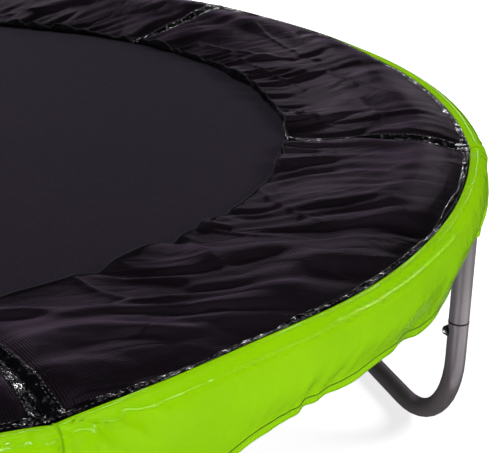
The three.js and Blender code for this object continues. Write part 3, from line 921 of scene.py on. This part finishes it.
def settle_skirt(k):
    """Skirt panel k, hung from the sewn edge with spare cloth gathered at the seams."""
    a, b = panel_span(k)
    n, m = int((b - a) * SKIRT_R / CELL), int(DROP / CELL) + 1
    th, t = field(np.linspace(a, b, n), np.linspace(0, 1, m))
    s = th * SKIRT_R
    near = np.minimum(th - a, b - th) * SKIRT_R
    gather = np.exp(-near / 0.06)
    off = np.min(np.abs((np.degrees(th)[..., None] - np.array(POSTS) + 180) % 360 - 180), -1)
    base = skirt_base(th, t, near, off)
    flat = np.stack([s, t * DROP], -1)
    lean = 0.55 * noise2(s / 0.30, 0.4, 181 + k) + 0.25 * noise2(s / 0.12, t * 1.2, 183 + k)
    way = lean + np.where(th - a < b - th, 1.0, -1.0) * gather * 0.9
    across = np.stack([np.cos(way), np.sin(way)], -1)
    patch = 0.5 + 0.5 * fbm(s / 0.25, t, 185 + k, 2)
    spare = 0.014 + 0.045 * patch * ease(t / 0.4) + 0.075 * gather + 0.03 * np.exp(-t / 0.08)
    rest = lengths(base, flat, across, spare)
    # small waves to start the folds from
    u = s - t * DROP * np.tan(np.clip(lean, -0.9, 0.9))
    start = 0.0050 * noise2(u / 0.13, t * 0.9, 187 + k) + 0.0028 * noise2(u / 0.058, t * 1.3, 189 + k)
    start = start + 0.0016 * noise2(s / 0.026, t * 2.5, 191 + k) * (gather + np.exp(-t / 0.15))
    polar = np.arctan2(t * DROP + 0.004, near + 0.004)
    start = start + 0.006 * noise2(polar * 5.0, near / 0.09, 193 + k) * gather
    start = start * ease(t / 0.10) * ease(near / 0.012) + 0.0015 * ease(t / 0.1)
    out, up = np.stack([np.cos(th), np.sin(th), np.zeros_like(th)], -1), np.array([0, 0, 1.0])
    rise = ease(1 - t / 0.16)[..., None]
    p = base + start[..., None] * (out * (1 - rise) + up * rise)
    pinned = np.zeros((n, m), bool)
    pinned[:, 0] = pinned[0] = pinned[-1] = True
    guard = skirt_guard(base, t, off)
    relax(p, rest, pinned, 230, 0.010, guard, give=0.5, sink=0.00003)
    # small puckers under the sewn edge, and crumples beside the seams, most of all at the front one
    patch = ease(0.5 + 0.9 * noise2(s / 0.13, 0.3, 197 + k))
    pucker = 0.0014 * fbm(s / 0.030, t * 3.2, 199 + k, 2) * bell(t - 0.17, 0.10) * patch
    crumple = 0.0030 * fbm(polar * 3.2 + 4, near / 0.030, 207 + k, 3, 0.6)
    crumple = crumple * np.exp(-near / 0.045) * ease(t / 0.12)
    rays = 0.45 - np.abs(noise2(polar * 4.6 + 9, near / 0.060, 211 + k))
    knots = 0.40 - np.abs(fbm(s / 0.028, t * DROP / 0.034, 213 + k, 2))
    by_front = (k == 0) & (th - a < b - th) | (k == 5) & (th - a > b - th)
    sharp = np.where(by_front, 1.0, 0.4) * np.maximum(0.0140 * rays + 0.0095 * knots, -0.0010)
    crumple = crumple + sharp * bell(near, 0.11) * ease(t / 0.08)
    p += (pucker + crumple * ease(near / 0.01))[..., None] * (0.8 * out + 0.6 * up * rise)
    return Panel(k, p)


def skirt_mesh(panel, material):
    """Settled skirt with its folded hem."""
    p = panel.p.copy()
    n, m = p.shape[:2]
    up = (1 - np.linspace(0, 1, m)[None, :]) * DROP
    out = p[..., :2] / np.hypot(p[..., 0], p[..., 1])[..., None]
    push = np.where(up < HEM, 0.0009, 0.0) - 0.0012 * bell(up - HEM, 0.0026)
    p[..., :2] += out * push[..., None]
    rows = []
    for inset, rise in ((0.0012, 0.0004), (0.0022, 0.005), (0.0024, HEM)):
        row = p[:, -1].copy()
        row[:, :2] -= out[:, -1] * inset
        row[:, 2] += rise
        rows.append(row)
    v = np.vstack([p.reshape(-1, 3), np.stack(rows, 1).reshape(-1, 3)])
    i = np.arange(n - 1)
    bridge = np.stack([i * m + m - 1, (i + 1) * m + m - 1, n * m + (i + 1) * 3, n * m + i * 3], -1)
    f = np.vstack([grid_faces(n, m), grid_faces(n, 3, start=n * m), bridge])
    return mesh_object(f"skirt_cloth_{panel.k + 1}", v, f, material)


def hem_thread(panel, material):
    n = int((panel.b - panel.a) * SKIRT_R / 0.0040)
    p = panel.at(np.linspace(panel.a + 0.001, panel.b - 0.001, n), 1 - HEM / DROP)
    p[:, :2] *= 1 - 0.0004 / SKIRT_R
    return tri_safe(f"hem_thread_{panel.k + 1}", *tube(p, 0.0010, 6), material)


def skirt_seam(panel, material):
    """Piping line where two skirt panels are sewn together."""
    p = panel.at(panel.a, np.linspace(0.0, 0.995, 70))
    return tri_safe(f"skirt_seam_{panel.k + 1}", *tube(p, 0.0012, 6), material)


# ---------------- mat, band, rings, springs
def mat_sector(k, count, material):
    """One slice of the mat, from its centre to its sewn edge."""
    n, m = 13, 40
    th, r = field((k + np.linspace(0, 1, n)) * (2 * pi / count), (MAT_R * np.linspace(0, 1, m) ** 0.8)[1:])
    v = cyl(r, th, np.full(r.shape, MAT_TOP))
    centre = np.full(n - 1, len(v))
    i = np.arange(n - 1)
    fan = np.stack([centre, (i + 1) * (m - 1), i * (m - 1), i * (m - 1)], -1)
    v = np.vstack([v, [[0, 0, MAT_TOP]]])
    return tri_safe(f"mat_cloth_{k + 1}", v, np.vstack([grid_faces(n, m - 1), fan]), material)


def band_piece(material):
    """Webbing folded over the mat's edge."""
    n = 288
    ring = np.array([(0.9975, 0.5640), (0.9990, 0.5645), (1.0100, 0.5643), (1.0205, 0.5645), (1.0218, 0.5632),
                     (1.0218, 0.5605), (1.0200, 0.5595), (1.0100, 0.5597), (0.9900, 0.5595), (0.9890, 0.5604),
                     (0.9900, 0.5612), (0.9975, 0.5614)])
    th, r = field(np.linspace(0, 2 * pi, n, endpoint=False), ring[:, 0])
    v = cyl(r, th, np.broadcast_to(ring[:, 1], r.shape))
    return mesh_object("mat_edge_webbing", v, grid_faces(n, len(ring), True, True), material)


def ring_loops(material):
    """Loops of webbing, above and below, that hold each V-ring."""
    parts = []
    x, y = field(np.linspace(-0.012, 0.0045, 6), np.linspace(-0.009, 0.009, 5))
    lift = 0.0016 * bell(x - 0.0005, 0.006)
    for a in SPRING_ANGLES:
        for z in (0.5647 + lift, 0.5588 - lift):
            parts.append((turned(np.stack([x, y, z], -1).reshape(-1, 3), a, 1.018), grid_faces(6, 5)))
    return mesh_object("ring_loops", *join(parts), material)


def v_rings(material):
    """Wire triangles with rounded corners."""
    corners = np.array([(1.0190, -0.0140), (1.0190, 0.0140), (1.0445, 0.0)])
    cut = 0.005
    path = []
    for j in range(3):
        p0, p1, p2 = corners[j - 1], corners[j], corners[(j + 1) % 3]
        u, w = (p0 - p1) / np.linalg.norm(p0 - p1), (p2 - p1) / np.linalg.norm(p2 - p1)
        for s in np.linspace(0, 1, 5):
            q = (1 - s) ** 2 * (p1 + u * cut) + 2 * s * (1 - s) * p1 + s * s * (p1 + w * cut)
            path.append((q[0], q[1], 0.562))
    v, f = tube(path, 0.0019, 6, closed=True)
    return mesh_object("v_rings", *join([(turned(v, a), f) for a in SPRING_ANGLES]), material)


def spring_path():
    """Centre line of one spring's wire, along +X from the V-ring to the hole in the rail."""
    pts = [(1.0445 + 0.0058 * cos(s), 0.0, 0.0050 * sin(s))
           for s in np.linspace(pi * 1.45, pi * 0.35, 12)]
    pts += [(1.0540, 0.0006, 0.0035), (1.0575, 0.003, 0.0062)]
    turns, steps = 28, 9
    for i in range(turns * steps + 1):
        a = pi * 0.35 + i / steps * 2 * pi
        pts.append((1.0590 + 0.1265 * i / (turns * steps), 0.0084 * cos(a), 0.0084 * sin(a)))
    pts += [(1.1880, 0.003, 0.0045), (1.1925, 0.0, 0.0012), (1.2000, 0.0, 0.0), (1.2090, 0.0, 0.0),
            (1.2155, 0.0, -0.0002)]
    return np.array(pts)


# ---------------- screws
def screws(chrome, dark):
    """Domed heads with a hexagon socket, on saddle washers that hug the tube."""
    heads, washers, sockets = [], [], []
    base = -(TUBE_R + 0.0028)
    head = revolve([(rad, base + up) for rad, up in (
        (0.0, 0.001), (0.0088, 0.001), (0.0089, 0), (0.0088, -0.0010), (0.0083, -0.0028), (0.0072, -0.0046),
        (0.0056, -0.0060), (0.0036, -0.0067), (0.0030, -0.0068), (0.0027, -0.0052), (0.0, -0.0050))])
    socket = revolve([(0.0036, base - 0.0069), (0.0029, base - 0.0052), (0.0, base - 0.00515)], 6)
    u = np.linspace(0, 2 * pi, 32, endpoint=False)
    rows = []
    for rad, lift in ((0.0035, 0.0030), (0.0098, 0.0030), (0.0104, 0.0022), (0.0104, 0.0002),
                      (0.0035, 0.0002)):
        y, z = rad * np.cos(u), rad * np.sin(u)
        hug = -np.sqrt(TUBE_R ** 2 - y ** 2) - 0.0002
        rows.append(np.stack([hug if lift < 0.001 else -(TUBE_R + lift - 0.0002) + 0 * y, y, z], -1))
    washer = np.vstack(rows), grid_faces(5, 32, True, True)
    for a in POSTS:
        for z in (LEG_SCREW_Z, JOINT_SCREW_Z):
            for parts, (v, f) in ((heads, head), (sockets, socket), (washers, washer)):
                parts.append((turned(v, a, RAIL_R, z), f))
    return [mesh_object(name, *join(parts), material) for name, parts, material in (
        ("screw_heads", heads, chrome), ("screw_sockets", sockets, dark), ("screw_washers", washers, dark))]


# ---------------- CAD nodes: smooth shading by modifier
def smooth_group():
    """Modifier that welds a tube's facets and shades them smooth, up to a limit angle."""
    g = bpy.data.node_groups.new("smooth_tube", "GeometryNodeTree")
    for way in ("INPUT", "OUTPUT"):
        g.interface.new_socket("Geometry", in_out=way, socket_type="NodeSocketGeometry")
    source, drop, weld, face, edge, angle, sharp, result = (g.nodes.new(kind) for kind in (
        "NodeGroupInput", "GeometryNodeRemoveAttribute", "GeometryNodeMergeByDistance",
        "GeometryNodeSetShadeSmooth", "GeometryNodeSetShadeSmooth", "GeometryNodeInputMeshEdgeAngle",
        "FunctionNodeCompare", "NodeGroupOutput"))
    drop.inputs["Name"].default_value = "custom_normal"
    weld.inputs["Distance"].default_value = 0.00002
    face.domain, edge.domain = "FACE", "EDGE"
    sharp.data_type, sharp.operation = "FLOAT", "GREATER_THAN"
    sharp.inputs[1].default_value = radians(38)
    edge.inputs["Shade Smooth"].default_value = False
    chain = (source, drop, weld, face, edge, result)
    for a, b in zip(chain, chain[1:]):
        g.links.new(a.outputs[0], b.inputs[0])
    g.links.new(angle.outputs["Unsigned Angle"], sharp.inputs[0])
    g.links.new(sharp.outputs[0], edge.inputs["Selection"])
    return g


def dress(nodes, material, group):
    """Gives these CAD meshes a material and the smoothing modifier."""
    for name in nodes:
        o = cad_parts[name]
        for s in o.material_slots:
            s.link = "OBJECT"
            s.material = material
        if not o.material_slots:
            o.data.materials.append(material)
        o.modifiers.new("smooth", "NODES").node_group = group


# ---------------- build
def attach(body, slot, *pieces):
    """These pieces move with one body; slot is not used."""
    for piece in pieces:
        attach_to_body(piece, body)


camera()
strip_lamps, pad_lamps, leg_lamps, skirt_lamps, screw_lamps = lighting()

bpy.ops.mesh.primitive_plane_add(size=60, location=(0, 0, -0.0005))
floor = bpy.context.object
floor.name = "floor"
floor.data.materials.append(floor_paint())
floor.visible_glossy = False
bpy.ops.mesh.primitive_uv_sphere_add(segments=48, ring_count=24, radius=28, location=(0, 0, 0))
dome = bpy.context.object
dome.name = "backdrop"
dome.data.materials.append(backdrop_white())
dome.visible_glossy = dome.visible_diffuse = dome.visible_shadow = dome.visible_transmission = False

paint = leg_paint()
chrome = metal("screw_chrome", (0.78, 0.78, 0.8), 0.14, 0.2)
zinc = metal("spring_zinc", (0.62, 0.63, 0.66), 0.28, 0.35)
dark = plain_plastic("washer_black", (0.012, 0.012, 0.013), 0.4)
strip_mat = gloss_vinyl("strip_black_vinyl", (0.0010, 0.0010, 0.0013), (0.0022, 0.0020, 0.0026),
                        (0.03, 0.10), 1.0)
bind_mat = gloss_vinyl("binding_black_vinyl", (0.0015, 0.0015, 0.0018), (0.004, 0.0036, 0.0044),
                       (0.06, 0.2), 0.9)
# painted highlight: the sewing thread is dark, and its paler grey here stands in for the glints along the
# sewing rows
glint_thread_mat = plain_plastic("pad_thread_painted_glint", (0.085, 0.075, 0.088), 0.25)
lime = skirt_vinyl()
hem_green = plain_plastic("hem_thread_green", (0.035, 0.11, 0.006), 0.5)
seam_green = gloss_vinyl("seam_lime_vinyl", (0.12, 0.30, 0.002), (0.2, 0.44, 0.003), (0.15, 0.3), 0.6)
weave = mat_weave()
web = webbing("edge_webbing", (0.008, 0.008, 0.009), (0.03, 0.03, 0.032))

group = smooth_group()
names = [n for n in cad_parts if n.startswith(("top_rail", "t_joint", "leg_post", "u_leg"))]
dress(names, paint, group)

# pad and skirt; a skirt is cut longer than its arc by the cloth that goes into its folds
pads = [settle_pad(k) for k in range(6)]
glossy, covers, skirts = [], [], []
for k in range(6):
    cover = pad_mesh(pads[k], pad_fabric(k))
    covers.append(cover)
    attach("frame", "pad_cover", cover)
    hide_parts(f"pad_panel_{k + 1}")
    sewn = stitches(f"pad_stitches_{k + 1}", pad_rows(k, pads[k - 1], pads[k]), glint_thread_mat)
    strips = [seam_strip(k, pads[k - 1], pads[k], strip_mat), outer_strip(pads[k], strip_mat)]
    glossy += strips
    attach("frame", "pad_cover", *strips, sewn)
    skirt = settle_skirt(k)
    cloth, thread, seam = skirt_mesh(skirt, lime), hem_thread(skirt, hem_green), skirt_seam(skirt, seam_green)
    skirts.append(cloth)
    attach("frame", "skirt_cover", cloth, thread, seam)
    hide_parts(f"skirt_panel_{k + 1}")
binding = inner_binding(pads, bind_mat)
glossy.append(binding)
attach("frame", "pad_cover", binding, edge_lip(pads, dark))

# mat, its edge and its springs
SECTORS = 16
for k in range(SECTORS):
    sector = mat_sector(k, SECTORS, weave)
    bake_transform(sector)
    if k == 0:
        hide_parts("jumping_mat")
band = band_piece(web)
attach("mat_edge", "edge_webbing", band, ring_loops(web))
attach("mat_edge", "spring_zinc", v_rings(zinc))
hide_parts("mat_edge_band")

wire, wire_faces = tube(spring_path(), 0.00155, 5)
for i, a in enumerate(SPRING_ANGLES):
    spring = tri_safe(f"spring_coil_{i + 1}", turned(wire, a, 0, SPRING_Z), wire_faces, zinc)
    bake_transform(spring)
    if i % 4 == 1:
        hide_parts(f"spring_{i // 4 + 1}")

# dark rings in the gaps between the posts and the U-legs, a painted shade standing in for the shadow in each
# joint's gap, and the screws
v, f = revolve([(0.0183, -0.0013), (0.0194, -0.0013), (0.0197, -0.0007), (0.0197, 0.0007), (0.0194, 0.0013),
                (0.0183, 0.0013)], 40)
gap_shade_rings = mesh_object("joint_gap_shade_rings", *join([(turned(v[:, [1, 2, 0]], a, RAIL_R, LEG_TOP + 0.00065), f)
                                             for a in POSTS]), dark)
attach("frame", "frame_paint", gap_shade_rings)
fasteners = screws(chrome, dark)
attach("frame", "screw_chrome", *fasteners)
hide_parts(*[f"{p}_{k + 1}" for p in ("leg_screw", "joint_screw") for k in range(6)])

shine_only("strip_highlights", strip_lamps, glossy)
shine_only("pad_shading", pad_lamps, covers)
shine_only("skirt_highlights", skirt_lamps, skirts)
shine_only("leg_highlights", leg_lamps, [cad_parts[n] for n in names] + [gap_shade_rings] + fasteners)
shine_only("screw_highlights", screw_lamps, fasteners)

scene = bpy.context.scene
scene.view_settings.view_transform = "Standard"
scene.view_settings.look = "None"
